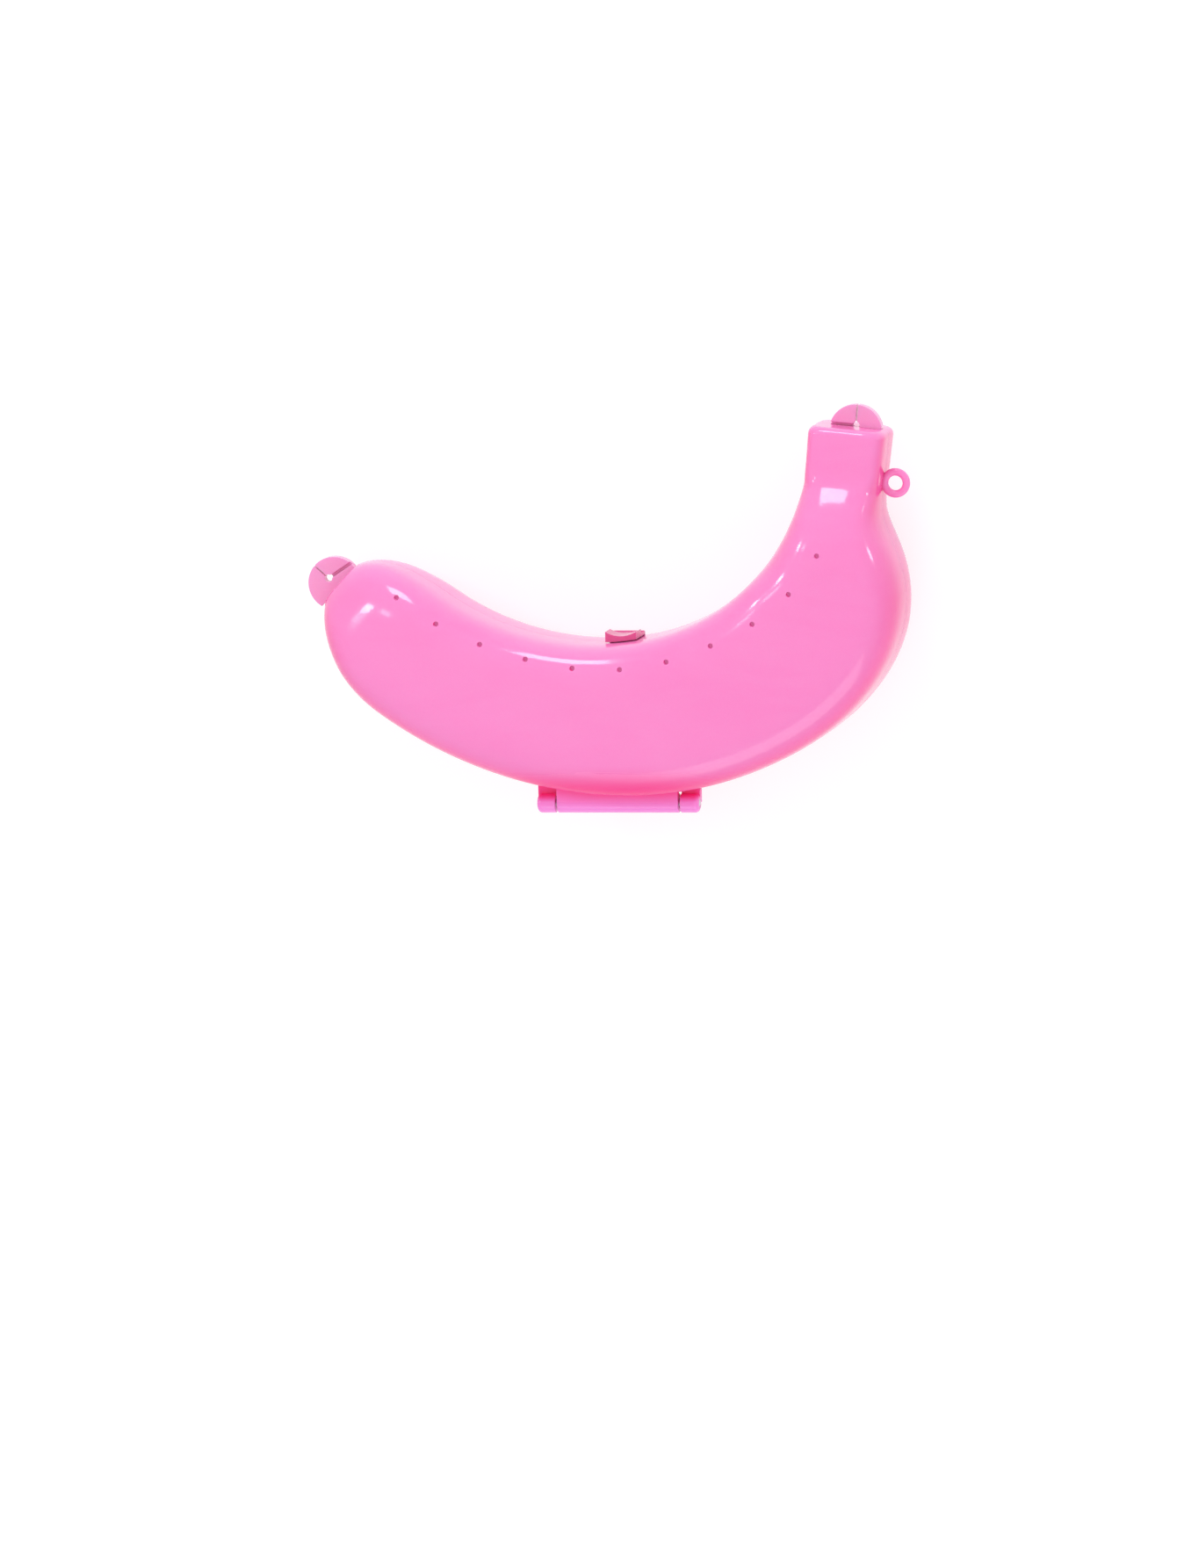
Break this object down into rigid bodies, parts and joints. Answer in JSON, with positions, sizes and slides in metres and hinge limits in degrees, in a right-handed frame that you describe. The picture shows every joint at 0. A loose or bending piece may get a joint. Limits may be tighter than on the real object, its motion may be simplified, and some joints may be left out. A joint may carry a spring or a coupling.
{
  "type": "banana carrying case",
  "caption": "Curved two-shell carrying case for a banana, with a pinned hinge on the outer curve, a snap tongue on the inner curve, vent row, split end tabs and a lanyard loop.",
  "frame": {"origin": "middle of the case's box, on the floor under its back shell", "axes": "+X from the tip to the stem, +Y from the hinge to the top of the stem, +Z from the back shell to the front shell"},
  "size_m": [0.1964, 0.1302, 0.044],
  "materials": {
    "pink_plastic": "glossy, slightly translucent pink",
    "pin_steel": "drawn wire"
  },
  "bodies": {
    "back_half": {"back_shell": "pink_plastic", "back_stem_block": "pink_plastic", "hinge_ear_tip": "pink_plastic", "hinge_ear_stem": "pink_plastic", "hinge_pin": "pin_steel", "back_tip_tab": "pink_plastic", "back_stem_tab": "pink_plastic", "latch_root": "pink_plastic"},
    "front_half": {"front_shell": "pink_plastic", "front_stem_block": "pink_plastic", "hinge_barrel": "pink_plastic", "front_tip_tab": "pink_plastic", "front_stem_tab": "pink_plastic", "lanyard_loop": "pink_plastic", "catch_bead": "pink_plastic", "lip_inner": "pink_plastic", "lip_outer": "pink_plastic"},
    "latch": {"latch_tongue": "pink_plastic"}
  },
  "joints": [
    {"name": "lid_hinge", "type": "hinge", "parent": "back_half", "child": "front_half", "pos_m": [0.00054, -0.06202, 0.022], "axis": [1, 0, 0], "range_deg": [0, 180]},
    {"name": "latch_flex", "type": "hinge", "parent": "back_half", "child": "latch", "pos_m": [0.00404, -0.00847, 0.016], "axis": [-1, 0, 0], "range_deg": [0, 8], "stiffness_Nm_per_rad": 0.05}
  ]
}
